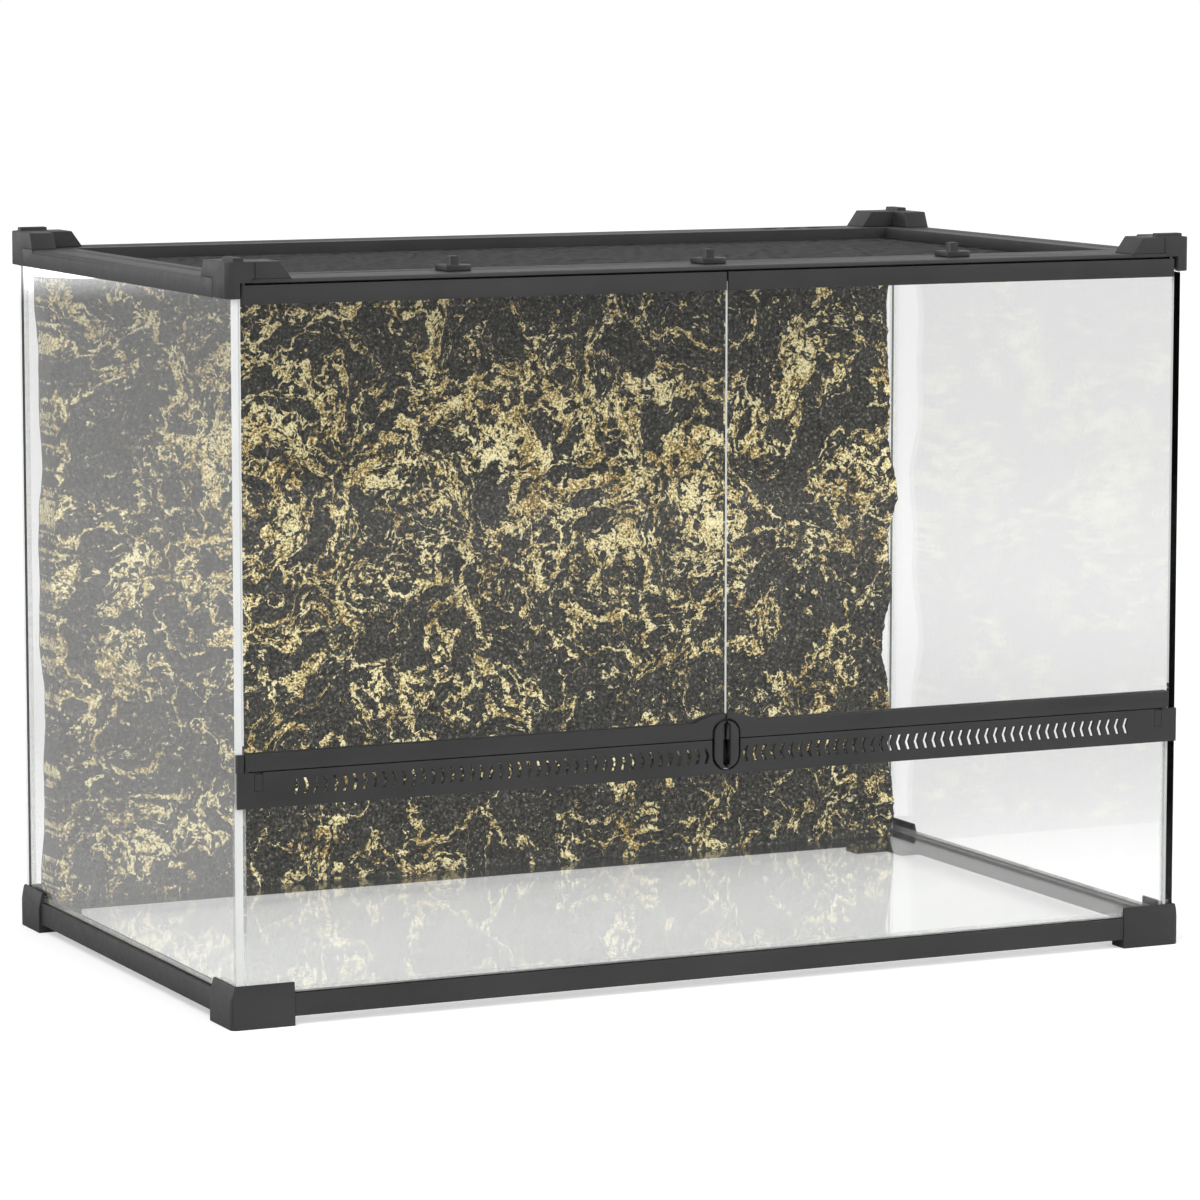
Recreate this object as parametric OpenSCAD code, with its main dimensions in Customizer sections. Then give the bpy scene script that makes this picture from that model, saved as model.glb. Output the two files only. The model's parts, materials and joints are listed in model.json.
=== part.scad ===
// Front-opening glass terrarium: twin hinged doors, lift-off mesh lid held by
// turn clips, sliding cable ports and a relief rock background.
// Origin: centre of the footprint, on the ground. +X right, +Y back, +Z up.

/* [Overall] */
// Width over the frame corners
tank_w = 800; // [780:1:900]
// Depth over the frame corners
tank_d = 474; // [460:1:560]
// Height of the top of the frame rails
rail_top = 545.6; // [500:0.1:640]

/* [Glass] */
// Thickness of each fixed pane
pane_t = 6; // [5:0.1:6]
// Thickness of each door pane
door_pane_t = 5; // [4:0.1:5]
// How far the panes sit inside the outer faces of the frame
pane_inset = 5; // [5:0.1:6]
// Underside of the glass floor
floor_z = 17.9; // [12:0.1:18]
// Top edge of the lower front pane
front_pane_top = 166; // [120:1:220]
// How far the panes reach up into the top rails
pane_grip = 6.4; // [4:0.1:8]
// Leg of each silicone bead in the inner corners
bead = 4; // [2:0.5:5]

/* [Base] */
// Height of the feet
foot_h = 32.5; // [26:0.5:40]
// Height where the outer faces of a foot begin to slope in
foot_knee = 20; // [10:1:22]
// Length of the foot along the front and rear
foot_front_run = 50; // [40:1:70]
// Length of the foot along the sides
foot_side_run = 44; // [36:1:60]
// How far a foot's side slopes in by its top
foot_slope = 3; // [1:0.1:3.5]
// Reach of the feet and base rails under the glass
base_reach = 20; // [14:1:28]
// Ground clearance under the base rails
base_clear = 7; // [4:0.5:8]
// Top of the base rails
base_top = 24; // [20:0.5:26]
// How far the base rails sit back from the feet
base_set_back = 1; // [0.5:0.1:1.5]

/* [Top frame] */
// Height of the rails
rail_h = 14; // [12:0.1:18]
// Width of the two side rails
side_rail_w = 20; // [18:0.5:26]
// Width of the rear rail
rear_rail_w = 29; // [26:0.5:36]
// Width of the front rail, with its fascia
front_rail_w = 46; // [44:0.5:54]
// Thickness of the fascia over the doors
fascia_t = 2.7; // [2:0.1:4]
// Depth of the fascia over the doors
fascia_d = 15; // [15:0.5:18]
// Width of the ledge that carries the lid
ledge_w = 14; // [10:0.5:18]
// Thickness of that ledge
ledge_t = 4.4; // [4:0.1:5]
// Rounding of the outer top edges of the rails
rail_r = 3.5; // [1:0.1:4]

/* [Corner blocks] */
// Height of the raised wings over the rails
wing_h = 12.6; // [8:0.1:20]
// Length of the raised wing along the front and rear
wing_front_run = 50.5; // [44:0.5:70]
// How far the end of that wing slopes in
wing_front_slope = 9; // [2:0.5:14]
// Length of the raised wing along the sides
wing_side_run = 52.5; // [44:0.5:70]
// How far the end of that wing slopes in
wing_side_slope = 6; // [2:0.5:12]
// Depth of the front and rear wings
wing_depth = 28.5; // [24:0.5:29]
// Rounding of the outer vertical edges
corner_r = 5; // [2:0.5:8]
// Length, width and height of the stacking key on each corner
key = [22, 8, 2.8]; // [2:0.1:30]

/* [Doors] */
// Gap between the two doors
door_gap = 1.5; // [1:0.1:3]
// Thickness of the door rails, front to back
door_rail_d = 12; // [10:0.5:13]
// Height of the upper door rail
door_top_h = 14; // [12:0.1:20]
// Height of the lower door rail
door_bottom_h = 12.6; // [12:0.1:18]
// Half-width and rise of the arch in the middle of the lower rails
hump = [27, 6.5]; // [3:0.5:40]
// Depth of the front lip of the door rails
door_lip = 2; // [1.5:0.1:3]
// Clear gap above and below the doors
door_play = 0.8; // [0.5:0.1:1.6]
// How far the hinge axis sits inside the door's end and front face
hinge_inset = 2.5; // [2.2:0.1:3]
// Radius of the hinge pins
pin_r = 1.25; // [1:0.05:1.5]

/* [Vent strip] */
// Bottom of the strip
strip_bottom = 162.7; // [118:0.1:218]
// Top of the strip
strip_top = 188.9; // [140:0.1:244]
// Thickness of the strip's front wall
strip_wall = 2; // [2:0.1:3]
// Number of chevron slots on each side
slots_per_side = 44; // [10:1:44]
// Distance from one slot to the next
slot_pitch = 7.72; // [6:0.01:8]
// Height of a slot
slot_h = 11.9; // [8:0.1:13]
// Width of a slot's stroke
slot_stroke = 2.7; // [1.2:0.1:3.2]
// How far the point of a chevron leads its tails
slot_lead = 2.1; // [1:0.1:3]

/* [Door pulls] */
// Width of the pair of pulls
pull_w = 20; // [16:0.5:26]
// Height of the pulls
pull_h = 36; // [34:0.1:44]
// Width of the finger groove shared by the pair
groove_w = 6.6; // [4:0.1:9]
// Gap round the pulls
pull_gap = 1.8; // [1:0.1:2.4]

/* [Lid] */
// Width of the lid frame's border
lid_border = 17; // [12:0.5:22]
// Clearance round the lid
lid_play = 0.5; // [0.3:0.1:1.5]
// Thickness of the mesh sheet
mesh_t = 0.8; // [0.5:0.1:1.2]
// Openings across and along the mesh sheet
mesh_cells = [12, 7]; // [2:1:12]
// Width of the bars between the openings
mesh_bar = 8; // [4:0.5:16]

/* [Clips] */
// Distance of the outer clips from the middle one
clip_pitch = 209; // [150:1:260]
// Half the width of the clip plate, and the radius of its round end
clip_r = 11; // [8:0.5:11]
// Reach of the round end, which turns over the lid
clip_reach = 14; // [13:0.5:18]
// Reach of the square end
clip_heel = 9.5; // [8:0.5:12]
// Thickness of the clip plate
clip_t = 4.2; // [3:0.1:6]
// Radius of the clip's stem
stem_r = 3; // [2:0.1:4]

/* [Cable ports] */
// Middle of the port nearest the centre
port_first_x = 265; // [240:0.5:270]
// Distance from one port to the next
port_pitch = 21.5; // [20:0.5:26]
// Width and depth of a port
port = [15, 14]; // [8:0.5:16]
// Travel of each shutter
shutter_travel = 11; // [6:0.5:11]

/* [Rock background] */
// Highest point of the rock panel
rock_top = 525; // [400:1:530]
// Thinnest and thickest part of the panel
rock_t = [26, 42]; // [12:1:60]
// Distance from one ridge of the relief to the next
rock_ridge = 59; // [40:1:90]
// Columns and rows of the relief
rock_grid = [48, 32]; // [6:1:60]

/* [Hidden] */
$fn = 48;

// Colours
plastic = [0.20, 0.20, 0.21];
clear = [0.80, 0.90, 0.90, 0.35];
steel = [0.70, 0.71, 0.72];
rock = [0.33, 0.32, 0.30];
silicone = [0.92, 0.92, 0.90, 0.6];

// Frame and glass, worked out from the driving sizes
hw = tank_w / 2;
hd = tank_d / 2;
rail_bottom = rail_top - rail_h;
corner_top = rail_top + wing_h;
pane_out_x = hw - pane_inset;
pane_in_x = pane_out_x - pane_t;
pane_out_y = hd - pane_inset;
pane_in_y = pane_out_y - pane_t;
floor_top = floor_z + pane_t;
pane_top = rail_bottom + pane_grip;
foot_out_y = hd - 2;
side_in = hw - side_rail_w;
front_in = hd - front_rail_w;
rear_in = hd - rear_rail_w;
ledge_top = rail_bottom + ledge_t;
fit = 0.1;

// Doors
door_front = hd - 1.2;
door_back = door_front - door_rail_d;
hinge_y = door_front - hinge_inset;
door_end = pane_in_x - 0.6;
hinge_x = door_end - hinge_inset;
door_low = strip_top + door_play;
door_high = rail_top - fascia_t - 2 * door_play;
door_pane_front = door_front - door_lip;
door_pane_low = door_low + 6.3;
door_pane_high = door_high - 7.3;
fascia_low = rail_top - fascia_t;
pin_clear = 0.05;
pin_set = 0.02;
pin_depth = 5.4;
pin_hold = 7;
strip_end = hw - 5.6;
slot_z = (strip_bottom + strip_top) / 2 + 1.4;
slot_start = strip_end - 43.8;

// Door pulls and their magnets
pull_top = door_low + 13.5;
pull_low = pull_top - pull_h;
pull_front = hd;
groove_depth = 2.4;
magnet_r = 2.5;
magnet_t = 3;
magnet_x = 6.4;
magnet_z = pull_low + 11;
magnet_face = door_pane_front - 3.8;
pocket_back = magnet_face - 1;
striker_t = 0.8;

// Lid, clips and shutters
lid_x = side_in - lid_play;
lid_front = front_in - lid_play;
lid_rear = rear_in - lid_play;
clip_y = -(front_in + 11);
clip_z = rail_top + 0.2;
port_y = rear_in + 8.5;
shutter_t = 2;
shutter_z = rail_bottom + 1.2;
shutter = [port[0] + 3, port[1] + 2.3];

// ---- helpers ----

// A box between two corners
module span_box(low, high) {
    translate(low) cube(high - low);
}

// A profile drawn in (y, z), run along X
module run_x(x0, x1) {
    translate([x0, 0, 0]) rotate([90, 0, 90]) linear_extrude(x1 - x0) children();
}

// A profile drawn in (x, z), run along Y
module run_y(y0, y1) {
    translate([0, y1, 0]) rotate([90, 0, 0]) linear_extrude(y1 - y0) children();
}

// The same piece on the left (-1) or right (1), at the front (-1) or rear (1)
module in_quadrant(side, end) {
    mirror([side < 0 ? 1 : 0, 0, 0]) mirror([0, end > 0 ? 1 : 0, 0]) children();
}

module on_side(side) {
    mirror([side < 0 ? 1 : 0, 0, 0]) children();
}

// A rail's outline with its outer top edge rounded; "out" is the outer face
module rail_outline(inner, out, low, high) {
    translate([inner, low]) square([out - inner - rail_r, high - low]);
    translate([inner, low]) square([out - inner, high - low - rail_r]);
    translate([out - rail_r, high - rail_r]) circle(rail_r);
}

// Plan of the front right quadrant with its outer corner rounded
module quadrant_plan(x_out, y_out) {
    translate([0, -y_out + corner_r]) square([x_out, y_out - corner_r]);
    translate([0, -y_out]) square([x_out - corner_r, y_out]);
    translate([x_out - corner_r, -y_out + corner_r]) circle(corner_r);
}

module rounded_rect(size, r) {
    square([size[0], size[1] - 2 * r], center = true);
    square([size[0] - 2 * r, size[1]], center = true);
    for (x = [-1, 1], y = [-1, 1])
        translate([x * (size[0] / 2 - r), y * (size[1] / 2 - r)]) circle(r);
}

// An upright stadium between two heights, about x = 0
module stadium(half_w, low, high) {
    translate([-half_w, low + half_w]) square([2 * half_w, high - low - 2 * half_w]);
    translate([0, low + half_w]) circle(half_w);
    translate([0, high - half_w]) circle(half_w);
}

// ---- base ----

// Section of a foot: distance in from the outer face, and height
function foot_section(slope, wall, reach) = [
    [0, 0], [0, foot_knee], [slope, foot_h], [wall, foot_h],
    [wall, floor_z], [reach, floor_z], [reach, 0]
];

module foot(side, end) {
    front_slope = 1;
    front_wall = foot_out_y - pane_out_y;
    front = foot_section(front_slope, front_wall, base_reach - 1);
    flank = foot_section(foot_slope, pane_inset, base_reach);
    color(plastic) in_quadrant(side, end) intersection() {
        union() {
            run_x(hw - foot_front_run, hw) polygon([for (p = front) [p[0] - foot_out_y, p[1]]]);
            run_y(-foot_out_y, -hd + foot_side_run + 3) polygon([for (p = flank) [hw - p[0], p[1]]]);
        }
        run_x(0, hw) polygon([
            [-foot_out_y, 0], [-foot_out_y, foot_knee], [front_slope - foot_out_y, foot_h],
            [0, foot_h], [0, 0]
        ]);
        run_y(-hd, 0) polygon([
            [hw, 0], [hw, foot_knee], [hw - foot_slope, foot_h], [0, foot_h], [0, 0]
        ]);
        linear_extrude(foot_h) quadrant_plan(hw, foot_out_y);
    }
}

// Section of a base rail: a ledge under the glass and a wall outside it
module base_rail_section(out, wall) {
    translate([out - base_reach, base_clear]) square([base_reach, floor_z - base_clear]);
    translate([out - wall, base_clear]) square([wall, base_top - base_clear]);
}

module base_rail_long(end) {
    out = foot_out_y - base_set_back;
    color(plastic) mirror([0, end < 0 ? 1 : 0, 0])
        run_x(-hw + foot_front_run, hw - foot_front_run) base_rail_section(out, out - pane_out_y);
}

module base_rail_short(side) {
    out = hw - 2 * base_set_back;
    run = hd - foot_side_run - 3;
    color(plastic) on_side(side) run_y(-run, run) base_rail_section(out, out - pane_out_x);
}

// ---- glass ----

module floor_glass() {
    color(clear) span_box([-pane_in_x, -pane_in_y, floor_z], [pane_in_x, pane_in_y, floor_top]);
}

module side_glass(side) {
    color(clear) on_side(side)
        span_box([pane_in_x, -pane_out_y, floor_z], [pane_out_x, pane_out_y, pane_top]);
}

module rear_glass() {
    color(clear) span_box([-pane_in_x, pane_in_y, floor_z], [pane_in_x, pane_out_y, pane_top]);
}

module lower_front_glass() {
    color(clear)
        span_box([-pane_in_x, -pane_out_y, floor_z], [pane_in_x, -pane_in_y, front_pane_top]);
}

// Triangular beads in the inner corners, left and right
module silicone_joints() {
    outer_bead = 1.2;
    color(silicone) for (side = [-1, 1]) on_side(side) {
        translate([pane_in_x, pane_in_y, floor_top])
            linear_extrude(rail_bottom - floor_top) polygon([[0, 0], [-bead, 0], [0, -bead]]);
        translate([pane_in_x, -pane_in_y, floor_top])
            linear_extrude(strip_bottom - floor_top) polygon([[0, 0], [-bead, 0], [0, bead]]);
        run_y(-pane_in_y, pane_in_y) translate([pane_in_x, floor_top])
            polygon([[0, 0], [-bead, 0], [0, bead]]);
        run_x(0, pane_in_x) translate([-pane_in_y, floor_top])
            polygon([[0, 0], [bead, 0], [0, bead]]);
        run_y(-pane_out_y, pane_out_y) translate([pane_out_x, rail_bottom])
            polygon([[0, 0], [outer_bead, 0], [0, -outer_bead]]);
    }
}

// ---- vent strip and fixed hinge parts ----

// One chevron slot that points to +x, its tails starting at x = 0
module chevron() {
    half = slot_h / 2;
    polygon([
        [0, half], [slot_stroke, half], [slot_stroke + slot_lead, 0],
        [slot_stroke, -half], [0, -half], [slot_lead, 0]
    ]);
}

module vent_strip() {
    flange_t = 2.4;
    flange_x = pane_in_x - 0.2;
    wall_back = -door_front + strip_wall;
    flange_back = -door_back + 2.8;
    seat_top = front_pane_top + flange_t;
    lip_y = -pane_in_y + 0.2;
    pocket_half = pull_w / 2 + pull_gap;
    tab = keeper_box();
    color(plastic) difference() {
        union() {
            span_box([-strip_end, -door_front, strip_bottom], [strip_end, wall_back, strip_top]);
            span_box([-flange_x, wall_back, strip_top - flange_t],
                     [flange_x, flange_back, strip_top]);
            span_box([-flange_x, wall_back, front_pane_top], [flange_x, flange_back, seat_top]);
            span_box([-flange_x, lip_y, strip_bottom], [flange_x, flange_back, seat_top]);
            for (side = [-1, 1]) on_side(side)
                span_box([tab[1][0] + 0.6, wall_back, strip_top - 11],
                         [flange_x, -hinge_y + 5, strip_top]);
            span_box([-pocket_half - 2.2, wall_back, seat_top],
                     [pocket_half + 2.2, -pocket_back + 2, strip_top]);
        }
        run_y(-hd, wall_back + 0.1) for (side = [-1, 1], i = [0 : slots_per_side - 1])
            translate([side * (i * slot_pitch - slot_start), slot_z]) scale([side, 1]) chevron();
        run_y(-hd, -pocket_back)
            stadium(pocket_half, pull_low - pull_gap, pull_top + pull_gap);
        for (side = [-1, 1]) on_side(side) {
            span_box([tab[0][0] - 0.3, -hd, tab[0][1] - 0.3],
                     [tab[1][0] + 0.3, wall_back, strip_top + 1]);
            translate([hinge_x, -hinge_y, strip_top - pin_hold])
                cylinder(h = pin_hold + 1, r = pin_r + pin_set);
        }
    }
}

// Corners (x, z) of the keeper tab let into the strip beside each hinge
function keeper_box() =
    [[hinge_x - 11.2, strip_top - 13.5], [hinge_x - 5, strip_top - 1.3]];

module hinge_keeper(side) {
    tab = keeper_box();
    back = -door_front + strip_wall;
    foot_extra = 2.4;
    color(plastic) on_side(side) {
        span_box([tab[0][0], -door_front, tab[0][1]], [tab[1][0], back, tab[1][1]]);
        span_box([tab[0][0] - foot_extra, back, tab[0][1] - 1],
                 [tab[1][0], back + 1.4, tab[1][1] - 2]);
    }
}

// Cap over the front edge of the left pane, beside the left door's bottom rail
module hinge_cap() {
    color(plastic)
        span_box([-strip_end, -door_front, strip_top],
                 [-door_end - 0.8, -pane_out_y, door_low + door_bottom_h]);
}

module hinge_pins() {
    color(steel) for (side = [-1, 1]) on_side(side) {
        translate([hinge_x, -hinge_y, strip_top - pin_hold])
            cylinder(h = pin_hold + door_play + pin_depth, r = pin_r);
        translate([hinge_x, -hinge_y, door_high - pin_depth])
            cylinder(h = fascia_low - door_high + pin_depth + pin_hold, r = pin_r);
    }
}

module catch_strikers() {
    color(steel) for (side = [-1, 1]) on_side(side)
        span_box([magnet_x - 2.8, -pocket_back - striker_t, magnet_z - 5],
                 [magnet_x + 2.8, -pocket_back, magnet_z + 5]);
}

// ---- top frame ----

// Square length of a long rail's rounded edge, under the corner block's wing
module wing_seat_long(end) {
    for (side = [-1, 1]) in_quadrant(side, end)
        span_box([hw - wing_front_run, -hd, rail_top - rail_r],
                 [side_in, -hd + rail_r, rail_top]);
}

// The same on a side rail
module wing_seat_side(end) {
    in_quadrant(1, end)
        span_box([hw - rail_r, -hd + wing_depth, rail_top - rail_r],
                 [hw, -hd + wing_side_run, rail_top]);
}

// Groove that a pane stands in, from below
module pane_groove(low, high) {
    span_box([low[0], low[1], rail_bottom - 1], [high[0], high[1], pane_top]);
}

module top_rail_front() {
    thick_front = hd - fascia_d;
    color(plastic) difference() {
        union() {
            run_x(-side_in, side_in) {
                mirror([1, 0]) rail_outline(front_in, hd, fascia_low - rail_r, rail_top);
                translate([-thick_front, rail_bottom])
                    square([thick_front - front_in, rail_h - fascia_t]);
                translate([-front_in, rail_bottom]) square([ledge_w, ledge_t]);
            }
            wing_seat_long(-1);
        }
        span_box([-hw, -hd - 1, rail_bottom - 1], [hw, -thick_front, fascia_low]);
        for (i = [-1 : 1])
            translate([i * clip_pitch, clip_y, rail_bottom - 1])
                cylinder(h = rail_h + 2, r = stem_r + pin_clear);
    }
}

module top_rail_side(side) {
    front_end = -hd + wing_depth;
    rear_end = hd - wing_depth;
    color(plastic) on_side(side) difference() {
        union() {
            run_y(front_end, rear_end) rail_outline(side_in, hw, rail_bottom, rail_top);
            for (end = [-1, 1]) wing_seat_side(end);
            span_box([side_in - ledge_w, -front_in + ledge_w, rail_bottom],
                     [side_in, rear_in - ledge_w, ledge_top]);
        }
        pane_groove([pane_in_x, -hd], [pane_out_x, hd]);
    }
}

module top_rail_rear() {
    color(plastic) difference() {
        union() {
            run_x(-side_in, side_in) rail_outline(rear_in, hd, rail_bottom, rail_top);
            wing_seat_long(1);
            span_box([-side_in, rear_in - ledge_w, rail_bottom], [side_in, rear_in, ledge_top]);
        }
        pane_groove([-hw, pane_in_y], [hw, pane_out_y]);
        for (i = [0 : 2]) {
            x = port_first_x + i * port_pitch;
            translate([x, port_y, rail_bottom - 1])
                linear_extrude(rail_h + 2) rounded_rect(port, 4);
            span_box([x - shutter[0] / 2 - fit, rear_in - ledge_w - 1, shutter_z - fit],
                     [x + shutter[0] / 2 + fit, port_y + shutter[1] / 2 + fit,
                      shutter_z + shutter_t + fit]);
        }
    }
}

// Corner block of the front right quadrant, mirrored into its own place
module corner_block(side, end) {
    key_along_x = side * end < 0;
    key_size = key_along_x ? key : [key[1], key[0], key[2]];
    key_in = key_along_x ? [5, 3] : [6, 2];
    crease_x = hw - 22;
    door_gap_x = side < 0 ? 0.8 : 1.8;
    color(plastic) in_quadrant(side, end) difference() {
        union() {
            intersection() {
                union() {
                    span_box([side_in, -hd, rail_bottom], [hw, -hd + wing_depth, rail_top]);
                    run_y(-hd, -hd + wing_depth) polygon([
                        [hw - wing_front_run, rail_top], [hw, rail_top], [hw, corner_top],
                        [hw - wing_front_run + wing_front_slope, corner_top]
                    ]);
                    run_x(side_in, hw) polygon([
                        [-hd, rail_top], [-hd + wing_side_run, rail_top],
                        [-hd + wing_side_run - wing_side_slope, corner_top], [-hd, corner_top]
                    ]);
                }
                linear_extrude(corner_top + 1) quadrant_plan(hw, hd);
            }
            translate([hw - key_in[0] - key_size[0], -hd + key_in[1], corner_top]) cube(key_size);
        }
        pane_groove([pane_in_x, -pane_out_y], [pane_out_x, 0]);
        linear_extrude(corner_top) translate([crease_x, -hd])
            polygon([[-0.7, -0.1], [0.7, -0.1], [0, 0.8]]);
        if (end > 0) pane_groove([0, -pane_out_y], [pane_out_x, -pane_in_y]);
        if (end < 0) {
            span_box([side_in - 1, -hd - 1, rail_bottom - 1],
                     [door_end + door_gap_x, -hd + fascia_d, fascia_low]);
            translate([hinge_x, -hinge_y, fascia_low - 1])
                cylinder(h = pin_hold + 1, r = pin_r + pin_set);
        }
    }
}

// ---- rock background ----

// Relief of the rock, 0 to 1, at a place on the panel: ridges that wander and cross
function ridge(a) = 1 - abs(sin(a));
function rock_relief(x, z) =
    let (turn = 180 / rock_ridge)
    0.42 * ridge(turn * (0.86 * x + 0.50 * z) + 55 * sin(1.1 * z) + 28 * sin(2.3 * x + 50))
    + 0.32 * ridge(turn * (0.80 * z - 0.55 * x) + 50 * sin(0.9 * x + 70))
    + 0.26 * (0.5 + 0.5 * sin(3.4 * x + 60 * sin(1.9 * z)) * cos(3.1 * z + 40 * sin(1.5 * x)));

// Wander of the panel's left and right edges
function rock_edge(v) = 3.5 * sin(760 * v + 20) + 2 * sin(1900 * v);

function rock_point(i, j) =
    let (u = i / rock_grid[0], v = j / rock_grid[1],
         left = -hw + 22 + 0.5 * rock_edge(v + 0.3), right = hw - 32 + rock_edge(v),
         top = rock_top - 3 * (1 + sin(1300 * u)),
         x = left + (right - left) * u, z = floor_top + (top - floor_top) * v,
         thick = rock_t[0] + (rock_t[1] - rock_t[0]) * rock_relief(x, z))
    [x, pane_in_y - thick, z];

module rock_background() {
    cols = rock_grid[0];
    rows = rock_grid[1];
    front = [for (j = [0 : rows], i = [0 : cols]) rock_point(i, j)];
    rim = concat(
        [for (i = [0 : cols]) [i, 0]], [for (j = [1 : rows]) [cols, j]],
        [for (i = [cols - 1 : -1 : 0]) [i, rows]], [for (j = [rows - 1 : -1 : 1]) [0, j]]
    );
    back = [for (p = rim) let (q = rock_point(p[0], p[1])) [q[0], pane_in_y, q[2]]];
    middle = [0, pane_in_y, rock_top / 2];
    n = len(front);
    count = len(rim);
    function at(p) = p[0] + p[1] * (cols + 1);
    faces = concat(
        [for (j = [0 : rows - 1], i = [0 : cols - 1]) [at([i, j]), at([i, j + 1]), at([i + 1, j])]],
        [for (j = [0 : rows - 1], i = [0 : cols - 1])
            [at([i + 1, j]), at([i, j + 1]), at([i + 1, j + 1])]],
        [for (k = [0 : count - 1]) [at(rim[k]), at(rim[(k + 1) % count]), n + k]],
        [for (k = [0 : count - 1]) [at(rim[(k + 1) % count]), n + (k + 1) % count, n + k]],
        [for (k = [0 : count - 1]) [n + count, n + k, n + (k + 1) % count]]
    );
    color(rock) polyhedron(concat(front, back, [middle]), faces);
}

// ---- lid, clips and shutters ----

module lid_frame() {
    inner_x = lid_x - lid_border;
    rebate = lid_border / 2;
    color(plastic) difference() {
        span_box([-lid_x, -lid_front, ledge_top], [lid_x, lid_rear, rail_top]);
        span_box([-inner_x, -lid_front + lid_border, ledge_top - 1],
                 [inner_x, lid_rear - lid_border, rail_top + 1]);
        span_box([-inner_x - rebate, -lid_front + lid_border - rebate, ledge_top - 1],
                 [inner_x + rebate, lid_rear - lid_border + rebate, ledge_top + mesh_t]);
    }
}

// Sheet held in the frame's rebate; its grid of openings fills the frame's window
module lid_mesh() {
    edge = lid_border / 2 + 0.5;
    low = [-lid_x + lid_border, -lid_front + lid_border];
    pitch = [2 * (lid_x - lid_border) / mesh_cells[0],
             (lid_front + lid_rear - 2 * lid_border) / mesh_cells[1]];
    color([0.25, 0.25, 0.26]) translate([0, 0, ledge_top]) linear_extrude(mesh_t) difference() {
        translate([-lid_x + edge, -lid_front + edge])
            square([2 * (lid_x - edge), lid_front + lid_rear - 2 * edge]);
        for (i = [0 : mesh_cells[0] - 1], j = [0 : mesh_cells[1] - 1])
            translate([low[0] + (i + 0.5) * pitch[0], low[1] + (j + 0.5) * pitch[1]])
                square([pitch[0] - mesh_bar, pitch[1] - mesh_bar], center = true);
    }
}

// Turn clip: rests parallel to the rail; its round end turns over the lid
module lid_clip(i) {
    post = [6.5, 9, 6.5];
    head = [4.2, 1.6];
    color(plastic) translate([i * clip_pitch, clip_y, clip_z]) {
        linear_extrude(clip_t) {
            translate([clip_reach - clip_r, 0]) circle(clip_r);
            translate([-clip_heel, -clip_r]) square([clip_heel + clip_reach - clip_r, 2 * clip_r]);
        }
        translate([-post[0] / 2, -post[1] / 2, clip_t]) cube(post);
        translate([0, 0, rail_bottom - clip_z - 0.2 - head[1]]) {
            cylinder(h = clip_z - rail_bottom + 0.2 + head[1], r = stem_r);
            cylinder(h = head[1], r = head[0]);
        }
    }
}

module cable_shutter(i) {
    nib = [7, 2, 3.6];
    color(plastic) translate([port_first_x + i * port_pitch, port_y, shutter_z]) {
        translate([-shutter[0] / 2, -shutter[1] / 2, 0]) cube([shutter[0], shutter[1], shutter_t]);
        translate([-nib[0] / 2, port[1] / 2 - nib[1] - 0.6, shutter_t]) cube(nib);
    }
}

// ---- doors, drawn as the right door ----

// Plan of a door rail, with its hinge edge rounded about the hinge axis
module door_plan() {
    translate([door_gap / 2, -door_front]) square([hinge_x - door_gap / 2, door_rail_d]);
    translate([hinge_x, -hinge_y]) square([hinge_inset, door_rail_d - hinge_inset]);
    translate([hinge_x, -hinge_y]) circle(hinge_inset);
}

module door_pane_slot() {
    span_box([0, -door_pane_front, door_pane_low],
             [hw, -door_pane_front + door_pane_t, door_pane_high]);
}

module door_glass(side) {
    color(clear) on_side(side)
        span_box([door_gap / 2, -door_pane_front, door_pane_low],
                 [door_end, -door_pane_front + door_pane_t, door_pane_high]);
}

module door_top_rail(side) {
    color(plastic) on_side(side) difference() {
        translate([0, 0, door_high - door_top_h]) linear_extrude(door_top_h) door_plan();
        door_pane_slot();
        translate([hinge_x, -hinge_y, door_high - pin_depth - 0.3])
            cylinder(h = pin_depth + 1, r = pin_r + pin_clear);
    }
}

module door_bottom_rail(side) {
    rail_z = door_low + door_bottom_h;
    arch_r = (hump[0] * hump[0] + hump[1] * hump[1]) / (2 * hump[1]);
    color(plastic) on_side(side) difference() {
        intersection() {
            translate([0, 0, door_low]) linear_extrude(door_bottom_h + hump[1]) door_plan();
            run_y(-hd, 0) {
                translate([0, door_low]) square([hw, door_bottom_h]);
                intersection() {
                    translate([0, rail_z + hump[1] - arch_r]) circle(arch_r, $fn = 96);
                    translate([0, rail_z]) square(2 * hump[0]);
                }
            }
        }
        door_pane_slot();
        run_y(-hd, -door_pane_front)
            stadium(pull_w / 2 + pull_gap, pull_low - pull_gap, pull_top + pull_gap);
        translate([hinge_x, -hinge_y, door_low - 1])
            cylinder(h = pin_depth + 1.3, r = pin_r + pin_clear);
    }
}

module door_pull(side) {
    seam = door_gap / 2;
    back_step = 0.6;
    rim = 1.2;
    color(plastic) on_side(side) difference() {
        union() {
            run_y(-pull_front, -door_pane_front) intersection() {
                stadium(pull_w / 2, pull_low, pull_top);
                translate([seam, 0]) square([pull_w, rail_top]);
            }
            run_y(-door_pane_front, -magnet_face) intersection() {
                stadium(pull_w / 2 - back_step, pull_low + back_step, pull_top);
                translate([seam, 0]) square([pull_w, door_low - back_step]);
            }
        }
        run_y(-pull_front - 1, -pull_front + groove_depth)
            stadium(groove_w / 2, pull_low + rim, pull_top - rim);
        run_y(-pull_front - 1, 0) intersection() {
            stadium(groove_w / 2, pull_low + rim, pull_top - rim);
            square([pull_w, door_low - rim]);
        }
        translate([magnet_x, -magnet_face + 1, magnet_z]) rotate([90, 0, 0])
            cylinder(h = magnet_t + 1, r = magnet_r + pin_set);
    }
}

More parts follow.
